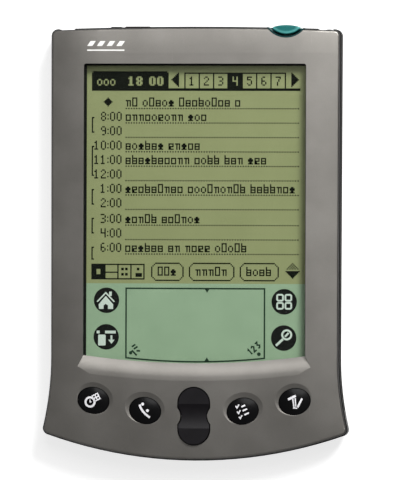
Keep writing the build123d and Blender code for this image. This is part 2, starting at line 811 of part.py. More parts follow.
with BuildPart() as dome_sheet:
    with BuildSketch(Plane.XY.offset(board_top)):
        with Locations((0, (board_foot_y + dome_sheet_head_y) / 2)):
            Rectangle(2 * outer_key_x + 6, dome_sheet_head_y - board_foot_y - 1)
        add(outline(frame_inset + board_margin + 0.5, 0), mode=Mode.INTERSECT)
        with Locations(*dome_points):
            Circle(dome_radius + dome_hole_gap, mode=Mode.SUBTRACT)
        with Locations(*screw_points):
            Circle(boss_radius + boss_hole_gap, mode=Mode.SUBTRACT)
    extrude(amount=dome_sheet_thickness)
dome_sheet.part.label = "dome_sheet"
export_step(dome_sheet.part, "parts/dome_sheet.step")

# ================================================================ top edge
power_cap_bottom = power_floor + 0.25
edge_switch_y = touch_head_y + 0.7
plunger_y = edge_switch_y + switch_depth + switch_plunger
with BuildPart() as power_button:
    with BuildSketch(Plane.XY.offset(power_cap_bottom)) as lens:
        with BuildLine():
            left_tip = (power_x - power_half_width, power_edge_y)
            right_tip = (power_x + power_half_width, power_edge_y)
            ThreePointArc(left_tip, (power_x, power_edge_y + power_proud), right_tip)
            ThreePointArc(left_tip, (power_x, power_edge_y - power_below), right_tip)
        make_face()
        fillet(lens.vertices(), power_round)
    extrude(amount=power_cap_top - power_cap_bottom)
    fillet(power_button.edges().group_by(Axis.Z)[-1], power_round)
    stem_foot_y = plunger_y + power_travel + travel_spare
    band_block(power_x, power_stem_width, stem_foot_y, power_edge_y - power_below + 0.4, power_stem_height)
    flange_y = notch_y - notch_radius - 0.35
    flange_foot_y = flange_y - edge_flange_thickness
    band_block(power_x, power_stem_width + 1.8, flange_foot_y, flange_y, power_stem_height)
power_button.part.label = "power_button"
export_step(power_button.part, "parts/power_button.step")

contrast_flange_y = half_length - frame_inset - 0.75
with BuildPart() as contrast_button:
    contrast_head_y = contrast_edge_y + edge_proud
    band_block(contrast_x, contrast_width, contrast_flange_y, contrast_head_y, edge_window_height)
    fillet(contrast_button.edges().group_by(Axis.Y)[-1], edge_round)
    flange_foot_y = contrast_flange_y - edge_flange_thickness
    band_block(contrast_x, contrast_flange_width, flange_foot_y, contrast_flange_y, edge_window_height)
    stem_foot_y = plunger_y + contrast_travel + travel_spare
    stem_root_y = contrast_flange_y - edge_flange_thickness / 2
    band_block(contrast_x, contrast_stem_width, stem_foot_y, stem_root_y, contrast_stem_height)
contrast_button.part.label = "contrast_button"
export_step(contrast_button.part, "parts/contrast_button.step")

for name, x in {"power_switch": power_x, "contrast_switch": contrast_x}.items():
    with BuildPart() as switch:
        box_between(
            (x - switch_width / 2, edge_switch_y, board_top),
            (x + switch_width / 2, edge_switch_y + switch_depth, mid_height + switch_rise),
        )
        band_block(x, 1.2, edge_switch_y + switch_depth, plunger_y, 1.0)
    switch.part.label = name
    export_step(switch.part, f"parts/{name}.step")

ir_back_y = half_length - frame_inset - 0.2
with BuildPart() as ir_window:
    band_block(ir_window_x, ir_window_width, ir_back_y, ir_edge_y + edge_proud, edge_window_height)
    fillet(ir_window.edges().group_by(Axis.Y)[-1], edge_round)
ir_window.part.label = "ir_window"
export_step(ir_window.part, "parts/ir_window.step")

with BuildPart() as ir_transceiver:
    ir_face_y = ir_back_y - 1.7
    box_between(
        (ir_window_x - 2.9, edge_switch_y, board_top),
        (ir_window_x + 2.9, ir_face_y, mid_height + switch_rise),
    )
    with Locations((ir_window_x - 1.4, ir_face_y, mid_height), (ir_window_x + 1.4, ir_face_y, mid_height)):
        Sphere(1.1)
ir_transceiver.part.label = "ir_transceiver"
export_step(ir_transceiver.part, "parts/ir_transceiver.step")

# ================================================================ board and battery
with BuildPart() as main_board:
    with BuildSketch(Plane.XY.offset(board_bottom)):
        with Locations((0, (board_head_y + board_foot_y) / 2)):
            Rectangle(2 * (rail_inner_x - 1), board_head_y - board_foot_y)
        add(outline(frame_inset + board_margin, 0), mode=Mode.INTERSECT)
        # bay for the battery, open to the left
        with Locations((battery_right_x + board_margin, (battery_head_y + battery_foot_y) / 2)):
            Rectangle(
                body_length, battery_length + 2 * board_margin,
                align=(Align.MAX, Align.CENTER), mode=Mode.SUBTRACT,
            )
        with Locations(*screw_points):
            Circle(screw_radius + hole_gap, mode=Mode.SUBTRACT)
    extrude(amount=board_thickness)
main_board.part.label = "main_board"
export_step(main_board.part, "parts/main_board.step")

chips = {  # centre, width and length of the body, height below the board, pitch of the leads
    "processor_chip": (2.0, -12.0, 14.0, 14.0, 1.3, 0.8),
    "flash_chip": (22.0, -8.0, 12.0, 18.0, 1.1, 1.2),
    "memory_chip": (20.0, -31.0, 8.0, 17.0, 1.1, 1.2),
    "power_chip": (-21.0, -1.0, 4.0, 5.0, 1.4, 1.2),
}
for name, (x, y, width, length, height, pitch) in chips.items():
    lead_count = int((length - 1) / pitch)
    with BuildPart() as chip:
        box_between(
            (x - width / 2, y - length / 2, board_bottom - height),
            (x + width / 2, y + length / 2, board_bottom - chip_chamfer),
        )
        chamfer(chip.edges().group_by(Axis.Z)[0], chip_chamfer)
        with Locations((x, y, board_bottom)):
            with GridLocations(0, pitch, 1, lead_count):
                Box(
                    width + 2 * chip_lead_reach, pitch / 2, chip_lead_thickness,
                    align=(Align.CENTER, Align.CENTER, Align.MAX),
                )
    chip.part.label = name
    export_step(chip.part, f"parts/{name}.step")

with BuildPart() as backlight_inductor:
    inductor_foot = board_bottom - inductor_height
    inductor_neck = inductor_flange + inductor_taper
    with BuildSketch(Plane.XZ.offset(inductor_y)):
        with BuildLine():
            Polyline(
                (0, board_bottom),
                (inductor_radius, board_bottom),
                (inductor_radius, board_bottom - inductor_flange),
                (inductor_waist_radius, board_bottom - inductor_neck),
                (inductor_waist_radius, inductor_foot + inductor_neck),
                (inductor_radius, inductor_foot + inductor_flange),
                (inductor_radius, inductor_foot),
                (0, inductor_foot),
                close=True,
            )
        make_face()
    revolve(axis=Axis((0, -inductor_y, 0), (0, 0, 1)))
backlight_inductor.part.label = "backlight_inductor"
export_step(backlight_inductor.part, "parts/backlight_inductor.step")

with BuildPart() as crystal:
    with BuildSketch(Plane.XY.offset(board_bottom)):
        with Locations((2.0, -27.0)):
            SlotOverall(crystal_length, crystal_width)
    extrude(amount=-crystal_height)
    fillet(crystal.edges().group_by(Axis.Z)[0], crystal_round)
crystal.part.label = "crystal"
export_step(crystal.part, "parts/crystal.step")

with BuildPart() as backup_capacitor:
    with Locations((24.0, 28.0, board_bottom)):
        Cylinder(
            capacitor_radius, capacitor_height, align=(Align.CENTER, Align.CENTER, Align.MAX)
        )
    fillet(backup_capacitor.edges().group_by(Axis.Z)[0], capacitor_round)
backup_capacitor.part.label = "backup_capacitor"
export_step(backup_capacitor.part, "parts/backup_capacitor.step")

with BuildPart() as speaker:
    rod((speaker_x, speaker_y, shell_wall + 0.05), (0, 0, 1), speaker_radius, speaker_height)
    fillet(speaker.edges().group_by(Axis.Z)[-1], 0.4)
speaker.part.label = "speaker"
export_step(speaker.part, "parts/speaker.step")

with BuildPart() as board_screws:
    for x, y in screw_points:
        rod((x, y, board_bottom - screw_head_height), (0, 0, 1), screw_head_radius, screw_head_height)
        rod((x, y, board_bottom), (0, 0, 1), screw_radius, board_thickness + screw_grip)
        with Locations((x, y, board_bottom - screw_head_height)):
            Box(2 * screw_head_radius, screw_slot_width, screw_slot_depth, mode=Mode.SUBTRACT)
            Box(screw_slot_width, 2 * screw_head_radius, screw_slot_depth, mode=Mode.SUBTRACT)
board_screws.part.label = "board_screws"
export_step(board_screws.part, "parts/board_screws.step")

with BuildPart() as battery_cell:
    box_between((battery_left_x, battery_foot_y, tape_top), (battery_right_x, battery_head_y, battery_top))
    fillet(battery_cell.edges().filter_by(Axis.Z), battery_corner)
    fillet(battery_cell.edges().group_by(Axis.Z)[-1], 0.5)
battery_cell.part.label = "battery_cell"
export_step(battery_cell.part, "parts/battery_cell.step")

with BuildPart() as battery_adhesive:
    box_between(
        (battery_left_x + 4, battery_foot_y + 4, shell_wall),
        (battery_right_x - 4, battery_head_y - 4, tape_top),
    )
battery_adhesive.part.label = "battery_adhesive"
export_step(battery_adhesive.part, "parts/battery_adhesive.step")

# The leads leave the cell's side, turn once and end in the connector on the board.
lead_z = board_top + lead_radius
lead_turn = 2.5
connector_head_y = battery_foot_y + 5
leads = {"battery_lead_red": 3.4, "battery_lead_black": 5.4}
for name, reach in leads.items():
    lead_y = connector_head_y + 5 + reach
    with BuildPart() as lead:
        with BuildLine(Plane.XY.offset(lead_z)) as route:
            FilletPolyline(
                (battery_right_x, lead_y),
                (battery_right_x + reach, lead_y),
                (battery_right_x + reach, connector_head_y),
                radius=lead_turn,
            )
        with BuildSketch(Plane(origin=(battery_right_x, lead_y, lead_z), z_dir=(1, 0, 0))):
            Circle(lead_radius)
        sweep(path=route.wire())
    lead.part.label = name
    export_step(lead.part, f"parts/{name}.step")

battery_connector_x = battery_right_x + battery_connector_gap
with BuildPart() as battery_connector:
    box_between(
        (battery_connector_x, connector_head_y - battery_connector_depth, board_top),
        (battery_connector_x + battery_connector_width, connector_head_y, board_top + connector_height),
    )
battery_connector.part.label = "battery_connector"
export_step(battery_connector.part, "parts/battery_connector.step")

# ================================================================ docking connector and reset
with BuildPart() as dock_connector:
    box_between(
        (-dock_width / 2, dock_face_y, mid_height - dock_height / 2),
        (dock_width / 2, dock_back_y, mid_height + dock_height / 2),
    )
    with Locations((0, dock_face_y, mid_height)):
        with GridLocations(contact_pitch, 0, contact_count, 1):
            Box(contact_width + 0.1, 2 * contact_depth, contact_height + 0.1, mode=Mode.SUBTRACT)
dock_connector.part.label = "dock_connector"
export_step(dock_connector.part, "parts/dock_connector.step")

with BuildPart() as dock_contacts:
    with Locations((0, dock_face_y + contact_depth, mid_height)):
        with GridLocations(contact_pitch, 0, contact_count, 1):
            Box(
                contact_width, contact_depth + frame_gap, contact_height,
                align=(Align.CENTER, Align.MAX, Align.CENTER),
            )
dock_contacts.part.label = "dock_contacts"
export_step(dock_contacts.part, "parts/dock_contacts.step")

with BuildPart() as reset_button:
    rod((0, reset_y, 0.15), (0, 0, 1), reset_radius, reset_tip - 0.15)
    rod((0, reset_y, shell_wall + 0.05), (0, 0, 1), reset_radius + 0.8, 0.45)
reset_button.part.label = "reset_button"
export_step(reset_button.part, "parts/reset_button.step")

with BuildPart() as reset_switch:
    box_between((-1.8, reset_y - 1.8, reset_tip + 0.4), (1.8, reset_y + 1.8, board_bottom))
reset_switch.part.label = "reset_switch"
export_step(reset_switch.part, "parts/reset_switch.step")

# ================================================================ stylus
stylus_foot_y = rail_bore_foot_y + 0.5
stylus_head_y = head_edge(rail_x) - 0.05
barrel_foot_y = stylus_foot_y + stylus_tip_length
barrel_head_y = stylus_head_y - stylus_cap_length
barrel_bore = stylus_radius - stylus_wall
stylus_axis = Axis((rail_x, 0, mid_height), (0, 1, 0))
stylus_plane = Plane(origin=(rail_x, 0, mid_height))
pin_root = (rail_x, barrel_head_y, mid_height)

with BuildPart() as stylus_barrel:
    barrel_foot = (rail_x, barrel_foot_y, mid_height)
    rod(barrel_foot, (0, 1, 0), stylus_radius, barrel_head_y - barrel_foot_y)
    rod(barrel_foot, (0, 1, 0), barrel_bore, body_length, Mode.SUBTRACT)
stylus_barrel.part.label = "stylus_barrel"
export_step(stylus_barrel.part, "parts/stylus_barrel.step")

with BuildPart() as stylus_tip:
    with BuildSketch(stylus_plane):
        with BuildLine():
            nose = ThreePointArc(
                (0, stylus_foot_y), (0.35, stylus_foot_y + 0.12), (0.55, stylus_foot_y + 0.5)
            )
            Polyline(
                nose @ 1,
                (stylus_radius, barrel_foot_y - 1.5),
                (stylus_radius, barrel_foot_y),
                (barrel_bore - frame_gap, barrel_foot_y),
                (barrel_bore - frame_gap, barrel_foot_y + stylus_spigot),
                (0, barrel_foot_y + stylus_spigot),
                (0, stylus_foot_y),
            )
        make_face()
    revolve(axis=stylus_axis)
stylus_tip.part.label = "stylus_tip"
export_step(stylus_tip.part, "parts/stylus_tip.step")

with BuildPart() as stylus_cap:
    with BuildSketch(stylus_plane):
        with BuildLine():
            crown = ThreePointArc(
                (0, stylus_head_y), (1.2, stylus_head_y - 0.25), (stylus_radius, stylus_head_y - 1.1)
            )
            Polyline(
                crown @ 1,
                (stylus_radius, barrel_head_y),
                (barrel_bore - frame_gap, barrel_head_y),
                (barrel_bore - frame_gap, barrel_head_y - stylus_spigot),
                (0, barrel_head_y - stylus_spigot),
                (0, stylus_head_y),
            )
        make_face()
    revolve(axis=stylus_axis)
    rod(pin_root, (0, -1, 0), reset_pin_radius, stylus_spigot + 1, Mode.SUBTRACT)
stylus_cap.part.label = "stylus_cap"
export_step(stylus_cap.part, "parts/stylus_cap.step")

with BuildPart() as reset_pin:
    rod(pin_root, (0, -1, 0), reset_pin_radius, reset_pin_length)
    chamfer(reset_pin.edges().group_by(Axis.Y)[0], 0.2)
reset_pin.part.label = "reset_pin"
export_step(reset_pin.part, "parts/reset_pin.step")
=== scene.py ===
import math
import random

import bmesh
import bpy
from mathutils import Matrix, Vector
from mathutils.bvhtree import BVHTree


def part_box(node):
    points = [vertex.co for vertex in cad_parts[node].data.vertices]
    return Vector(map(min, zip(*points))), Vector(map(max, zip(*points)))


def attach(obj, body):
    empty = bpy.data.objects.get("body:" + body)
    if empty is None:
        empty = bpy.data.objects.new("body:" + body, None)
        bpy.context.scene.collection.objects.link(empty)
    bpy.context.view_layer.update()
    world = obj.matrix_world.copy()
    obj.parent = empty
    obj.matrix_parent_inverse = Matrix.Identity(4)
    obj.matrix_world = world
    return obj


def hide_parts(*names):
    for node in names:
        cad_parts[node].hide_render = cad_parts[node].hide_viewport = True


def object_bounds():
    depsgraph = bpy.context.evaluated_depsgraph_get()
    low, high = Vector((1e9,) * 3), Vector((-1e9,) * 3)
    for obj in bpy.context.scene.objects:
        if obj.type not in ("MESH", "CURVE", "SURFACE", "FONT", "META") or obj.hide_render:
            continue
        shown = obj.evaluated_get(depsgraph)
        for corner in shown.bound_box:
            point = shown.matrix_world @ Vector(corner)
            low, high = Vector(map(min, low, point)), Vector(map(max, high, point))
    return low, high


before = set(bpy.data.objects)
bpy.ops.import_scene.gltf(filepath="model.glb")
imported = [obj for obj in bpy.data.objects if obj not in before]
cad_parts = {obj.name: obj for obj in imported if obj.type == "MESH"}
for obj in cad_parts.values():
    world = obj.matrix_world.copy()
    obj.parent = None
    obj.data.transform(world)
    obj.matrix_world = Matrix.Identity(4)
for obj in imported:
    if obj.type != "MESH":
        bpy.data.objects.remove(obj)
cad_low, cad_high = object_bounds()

MM = 0.001
BLACK, WHITE = (0, 0, 0, 1), (1, 1, 1, 1)
random.seed(11)


# ---------------------------------------------------------------- material helpers
def colour(red, green, blue):
    """A display colour, 0 to 255 in each channel, as linear light."""
    parts = []
    for value in (red, green, blue):
        v = value / 255
        parts.append(v / 12.92 if v <= 0.04045 else ((v + 0.055) / 1.055) ** 2.4)
    return (*parts, 1.0)


class Finish:
    """A material under construction. Every texture runs on the piece's own coordinates, in metres."""

    def __init__(self, name, **sockets):
        self.material = bpy.data.materials.new(name)
        self.material.use_nodes = True
        self.tree = self.material.node_tree
        self.shader = self.tree.nodes["Principled BSDF"]
        self.place = self.tree.nodes.new("ShaderNodeTexCoord").outputs["Object"]
        for socket, value in sockets.items():
            self.shader.inputs[socket.replace("_", " ")].default_value = value

    def node(self, kind, links=None, **settings):
        made = self.tree.nodes.new("ShaderNode" + kind)
        for key, value in settings.items():
            if hasattr(made, key):
                setattr(made, key, value)
            else:
                made.inputs[key.replace("_", " ")].default_value = value
        for socket, source in (links or {}).items():
            self.tree.links.new(source, made.inputs[socket])
        return made

    def stretched(self, scale=(1, 1, 1), turn=0.0):
        """The piece's coordinates, scaled along each axis and turned about Z."""
        made = self.node("Mapping", {"Vector": self.place})
        made.inputs["Scale"].default_value = scale
        made.inputs["Rotation"].default_value = (0, 0, turn)
        return made.outputs["Vector"]

    def noise(self, grain, detail=3.0, stretch=(1, 1, 1), turn=0.0):
        """Noise whose features are about grain millimetres across."""
        made = self.node(
            "TexNoise", {"Vector": self.stretched(stretch, turn)}, Scale=1 / (grain * MM), Detail=detail
        )
        return made.outputs["Fac"]

    def reach(self, x, y, low, high):
        """0 to 1 between two distances from a point of the plan, in millimetres."""
        away = self.node("VectorMath", {0: self.stretched((1, 1, 0))}, operation="DISTANCE")
        away.inputs[1].default_value = (x * MM, y * MM, 0)
        made = self.node("MapRange", {"Value": away.outputs["Value"]})
        made.inputs["From Min"].default_value = low * MM
        made.inputs["From Max"].default_value = high * MM
        return made.outputs["Result"]

    def flatness(self):
        """How far the surface faces up or down: 1 on a flat face, 0 on an upright wall."""
        split = self.node("SeparateXYZ", {"Vector": self.node("NewGeometry").outputs["Normal"]})
        return self.node("Math", {0: split.outputs["Z"]}, operation="ABSOLUTE").outputs[0]

    def ramp(self, factor, stops):
        made = self.node("ValToRGB", {"Fac": factor})
        elements = made.color_ramp.elements
        while len(elements) < len(stops):
            elements.new(0.5)
        for element, (place, tone) in zip(elements, stops):
            element.position = place
            element.color = tone
        return made.outputs["Color"]

    def span(self, value, low, high):
        """A 0 to 1 value spread over low to high."""
        made = self.node("MapRange", {"Value": value})
        made.inputs["From Min"].default_value = 0.25
        made.inputs["From Max"].default_value = 0.75
        made.inputs["To Min"].default_value = low
        made.inputs["To Max"].default_value = high
        return made.outputs["Result"]

    def blend(self, factor, first, second):
        """Mixes two colour outputs by factor."""
        made = self.node("Mix", data_type="RGBA")
        for place, source in ((0, factor), (6, first), (7, second)):
            self.tree.links.new(source, made.inputs[place])
        return made.outputs[2]

    def average(self, first, second, share=0.5):
        made = self.node("Mix", data_type="FLOAT")
        made.inputs[0].default_value = share
        self.tree.links.new(first, made.inputs[2])
        self.tree.links.new(second, made.inputs[3])
        return made.outputs[0]

    def paint(self, source):
        self.tree.links.new(source, self.shader.inputs["Base Color"])

    def rough(self, source):
        self.tree.links.new(source, self.shader.inputs["Roughness"])

    def emboss(self, height, depth_mm, strength=1.0, under=None):
        """Raises the surface by a height map, over another bump if one is given."""
        made = self.node("Bump", {"Height": height}, Distance=depth_mm * MM, Strength=strength)
        if under:
            self.tree.links.new(under.outputs["Normal"], made.inputs["Normal"])
        self.tree.links.new(made.outputs["Normal"], self.shader.inputs["Normal"])
        return made


def grained(name, dark, light, grain, rough, depth, turn=0.0, stretch=(1, 1, 1), **sockets):
    """Fine grain with slow colour drift over it: the base of most surfaces here."""
    finish = Finish(name, **sockets)
    fine = finish.noise(grain, 4.0, stretch, turn)
    drift = finish.noise(grain * 40, 2.0)
    tone = finish.average(fine, drift, 0.45)
    finish.paint(finish.ramp(tone, [(0.3, colour(*dark)), (0.7, colour(*light))]))
    finish.rough(finish.span(finish.average(fine, drift, 0.6), *rough))
    finish.emboss(fine, depth)
    return finish


def anodised():
    """Bead-blasted, anodised aluminium: fine sparkle, slow drift in tone, a few hairline scuffs, and
    painted shade on the upright walls and steep edges.
    """
    finish = Finish("anodised_aluminium", Metallic=0.86, Specular_IOR_Level=0.5)
    beads = finish.noise(0.11, 2.0)
    cloud = finish.noise(14.0, 3.0)
    scuffs = finish.noise(0.5, 5.0, (1, 0.03, 1), 0.6)
    tone = finish.average(beads, cloud, 0.55)
    base = finish.ramp(tone, [(0.32, colour(127, 124, 119)), (0.68, colour(148, 145, 140))])
    marks = finish.ramp(scuffs, [(0.70, BLACK), (0.78, (0.35, 0.35, 0.35, 1))])
    bright = finish.ramp(beads, [(0.4, colour(160, 158, 153)), (0.6, colour(176, 174, 170))])
    # painted shade: upright walls and steep edge fillets get a near-black colour for the shade and dark
    # reflections they show; the mask is 1 on flat faces, 0 on walls
    painted_shade_walls = finish.ramp(beads, [(0.4, colour(32, 31, 30)), (0.6, colour(42, 41, 39))])
    painted_shade_mask = finish.ramp(finish.flatness(), [(0.66, BLACK), (0.86, WHITE)])
    finish.paint(finish.blend(painted_shade_mask, painted_shade_walls, finish.blend(marks, base, bright)))
    finish.rough(finish.span(finish.average(beads, cloud, 0.5), 0.37, 0.45))
    first = finish.emboss(beads, 0.006, 0.6)
    finish.emboss(scuffs, 0.003, 0.25, first)
    return finish.material


def dotted_display():
    """The display's green-grey ground, with the gaps between its dots."""
    finish = Finish("display_ground", Roughness=0.4, Specular_IOR_Level=0.3)
    ground = finish.ramp(
        finish.average(finish.noise(9.0, 3.0), finish.noise(0.35, 2.0), 0.35),
        [(0.3, colour(137, 145, 98)), (0.7, colour(146, 154, 107))],
    )
    gaps = finish.node("TexBrick", {"Vector": finish.stretched(), "Color1": ground, "Color2": ground})
    gaps.offset = 0.0
    gaps.squash = 1.0
    gaps.inputs["Scale"].default_value = 1.0
    gaps.inputs["Brick Width"].default_value = DOT * MM
    gaps.inputs["Row Height"].default_value = DOT * MM
    gaps.inputs["Mortar Size"].default_value = DOT * MM * 0.07
    gaps.inputs["Mortar"].default_value = colour(129, 138, 93)
    finish.paint(gaps.outputs["Color"])
    finish.rough(finish.span(finish.noise(0.4), 0.36, 0.5))
    finish.emboss(finish.noise(0.2), 0.002)
    return finish.material


def clear_layer(name, tint, alpha, rough):
    """A clear sheet that lets light and shadows through."""
    finish = Finish(name, Alpha=alpha, IOR=1.5, Specular_IOR_Level=0.25)
    haze = finish.noise(6.0, 3.0)
    specks = finish.noise(0.3, 2.0)
    light = tuple(min(255, part + 8) for part in tint)
    finish.paint(finish.ramp(haze, [(0.3, colour(*tint)), (0.7, colour(*light))]))
    finish.rough(finish.span(finish.average(haze, specks, 0.5), *rough))
    finish.emboss(specks, 0.001)
    return finish.material


def circuit_board():
    """Solder resist with copper tracks and plated dots showing through it."""
    finish = Finish("board_green", Coat_Weight=0.4)
    tracks = finish.node("TexBrick", {"Vector": finish.stretched((1, 1, 0))})
    tracks.inputs["Scale"].default_value = 1.0
    tracks.inputs["Brick Width"].default_value = 3.4 * MM
    tracks.inputs["Row Height"].default_value = 0.8 * MM
    tracks.inputs["Mortar Size"].default_value = 0.1 * MM
    tracks.inputs["Color1"].default_value = colour(22, 74, 44)
    tracks.inputs["Color2"].default_value = colour(18, 66, 40)
    tracks.inputs["Mortar"].default_value = colour(48, 118, 72)
    pads = finish.node("TexVoronoi", {"Vector": finish.stretched((1, 1, 0))}, Scale=1 / (3.0 * MM))
    dots = finish.ramp(pads.outputs["Distance"], [(0.10, WHITE), (0.13, BLACK)])
    gold = finish.ramp(finish.noise(0.3), [(0.3, colour(190, 155, 80)), (0.7, colour(214, 182, 110))])
    finish.paint(finish.blend(dots, tracks.outputs["Color"], gold))
    finish.rough(finish.span(finish.noise(0.5), 0.3, 0.45))
    finish.emboss(tracks.outputs["Fac"], 0.03)
    return finish.material


def striped(name, ground, line, pitch, along_x=False):
    """Flexible circuit: thin parallel tracks under an amber film."""
    finish = Finish(name, Coat_Weight=0.3)
    turn = 0.0 if along_x else math.pi / 2
    wave_length = 0.314  # of the wave texture at a scale of 1
    bands = finish.node(
        "TexWave", {"Vector": finish.stretched((1, 1, 1), turn)}, Scale=wave_length / (pitch * MM)
    )
    bands.inputs["Distortion"].default_value = 0.0
    stripes = finish.ramp(bands.outputs["Fac"], [(0.45, colour(*ground)), (0.55, colour(*line))])
    finish.paint(stripes)
    finish.rough(finish.span(finish.noise(0.4), 0.28, 0.42))
    finish.emboss(bands.outputs["Fac"], 0.02)
    return finish.material


def tinted_button():
    """Teal moulded plastic with flow marks, and a paler ring of painted highlight along its inner rim."""
    finish = Finish("teal_plastic", Specular_IOR_Level=0.25, Subsurface_Weight=0.05)
    finish.shader.inputs["Subsurface Scale"].default_value = 1.0 * MM
    finish.shader.inputs["Subsurface Radius"].default_value = (0.2, 0.8, 0.8)
    flow = finish.noise(3.0, 4.0, (1, 0.4, 1))
    fine = finish.noise(0.12, 2.0)
    body = finish.ramp(flow, [(0.3, colour(0, 74, 74)), (0.7, colour(4, 98, 96))])
    pale = finish.ramp(flow, [(0.3, colour(52, 128, 126)), (0.7, colour(74, 150, 147))])
    # painted highlight: a paler ring around the notch centre, where the dome's lit crescent shows
    rim = finish.reach(*notch_centre, 3.9, 5.6)
    painted_highlight_band = finish.ramp(rim, [(0.2, BLACK), (0.5, WHITE), (0.62, WHITE), (0.74, BLACK)])
    finish.paint(finish.blend(painted_highlight_band, body, pale))
    finish.rough(finish.span(fine, 0.22, 0.34))
    finish.emboss(fine, 0.003)
    return finish.material


def frame_plastic():
    """Black moulded plastic, tinted teal around the power button."""
    finish = Finish("frame_black_plastic", Specular_IOR_Level=0.2)
    fine = finish.noise(0.09, 4.0)
    drift = finish.noise(3.6, 2.0)
    tone = finish.average(fine, drift, 0.45)
    black = finish.ramp(tone, [(0.3, colour(24, 24, 23)), (0.7, colour(36, 35, 34))])
    tinted = finish.ramp(tone, [(0.3, colour(0, 44, 46)), (0.7, colour(2, 58, 60))])
    finish.paint(finish.blend(finish.reach(*notch_centre, 6.3, 6.5), tinted, black))
    finish.rough(finish.span(finish.average(fine, drift, 0.6), 0.42, 0.56))
    finish.emboss(fine, 0.006)
    return finish.material


# ---------------------------------------------------------------- sizes that finishes and pieces share
DOT = 0.3475  # pitch of the display's dots, in millimetres
DOTS = 160
display_left, display_head = -27.8, 45.68
notch_centre = (24.2, 60.67)  # of the round notch that holds the power button

# ---------------------------------------------------------------- finishes of the CAD nodes
shell = anodised()
display = dotted_display()
glass = clear_layer("touch_glass_clear", (58, 66, 60), 0.03, (0.12, 0.2))
film = clear_layer("touch_film_clear", (66, 70, 64), 0.035, (0.3, 0.42))
edge_black = frame_plastic()
key_black = grained(
    "key_black_plastic", (5, 5, 6), (9, 9, 10), 0.08, (0.2, 0.3), 0.002,
    Specular_IOR_Level=0.2, Coat_Weight=0.06, Coat_Roughness=0.1,
)
rocker_black = grained(
    "rocker_black_rubber", (10, 8, 11), (15, 12, 16), 0.07, (0.45, 0.6), 0.006, Specular_IOR_Level=0.25
)
teal = tinted_button()
bright_metal = grained(
    "brushed_metal", (168, 168, 166), (205, 205, 203), 0.06, (0.22, 0.36), 0.003,
    stretch=(1, 0.05, 1), Metallic=1.0,
)
gold = grained("gold_plate", (206, 168, 88), (228, 194, 118), 0.05, (0.2, 0.32), 0.002, Metallic=1.0)
can = grained("pressed_can", (172, 174, 176), (200, 201, 203), 0.12, (0.28, 0.4), 0.004, Metallic=1.0)
chip = grained("chip_epoxy", (26, 27, 29), (42, 43, 45), 0.06, (0.5, 0.66), 0.008)
cream = grained("connector_cream", (206, 198, 170), (222, 214, 190), 0.1, (0.4, 0.55), 0.004)
foil = grained("cell_foil", (150, 154, 158), (186, 189, 192), 0.25, (0.3, 0.48), 0.02, Metallic=0.9)
tape = grained("tape_white", (214, 212, 204), (232, 230, 224), 0.2, (0.55, 0.7), 0.01)
bead = grained("glue_bead", (48, 46, 42), (70, 67, 60), 0.2, (0.35, 0.6), 0.01)
foam = grained("gasket_foam", (26, 26, 27), (46, 46, 48), 0.25, (0.8, 0.95), 0.04)
pane = grained("lcd_glass_pane", (120, 132, 118), (134, 146, 132), 0.4, (0.08, 0.16), 0.001)
mirror_foil = grained(
    "reflector_foil", (178, 184, 176), (204, 208, 200), 0.3, (0.25, 0.4), 0.004, Metallic=0.7
)
lamp = grained("backlight_white", (222, 226, 214), (238, 240, 230), 0.3, (0.4, 0.55), 0.004)
ferrite = grained("ferrite_grey", (46, 46, 48), (66, 66, 68), 0.1, (0.6, 0.8), 0.012)
infrared = grained(
    "ir_dark_window", (24, 6, 10), (36, 12, 16), 0.1, (0.1, 0.18), 0.001, Coat_Weight=0.5
)
red_lead = grained("lead_red_pvc", (158, 24, 22), (184, 36, 30), 0.12, (0.35, 0.5), 0.004)
black_lead = grained("lead_black_pvc", (20, 20, 21), (32, 32, 33), 0.12, (0.35, 0.5), 0.004)
amber = striped("flex_amber", (150, 88, 24), (182, 116, 42), 0.5)
amber_wide = striped("flex_amber_wide", (146, 84, 22), (178, 112, 40), 0.8, True)
board = circuit_board()
soft_white = grained("key_print_white", (214, 213, 216), (236, 235, 238), 0.1, (0.4, 0.55), 0.002)
mark_white = grained("face_print_white", (226, 226, 222), (242, 242, 238), 0.08, (0.5, 0.62), 0.002)
dot_dark = grained(
    "display_dot_dark", (5, 7, 2), (9, 12, 4), 0.3, (0.5, 0.6), 0.001, Specular_IOR_Level=0.0
)
print_green = grained("writing_area_green", (133, 161, 129), (145, 173, 140), 0.18, (0.42, 0.55), 0.002)
print_dark = grained(
    "writing_print_dark", (18, 44, 27), (28, 56, 37), 0.12, (0.42, 0.55), 0.002, Specular_IOR_Level=0.1
)
print_black = grained(
    "writing_print_black", (3, 4, 3), (7, 8, 7), 0.12, (0.35, 0.5), 0.002, Specular_IOR_Level=0.08
)
print_pale = grained("writing_print_pale", (186, 204, 190), (204, 220, 206), 0.12, (0.42, 0.55), 0.002)

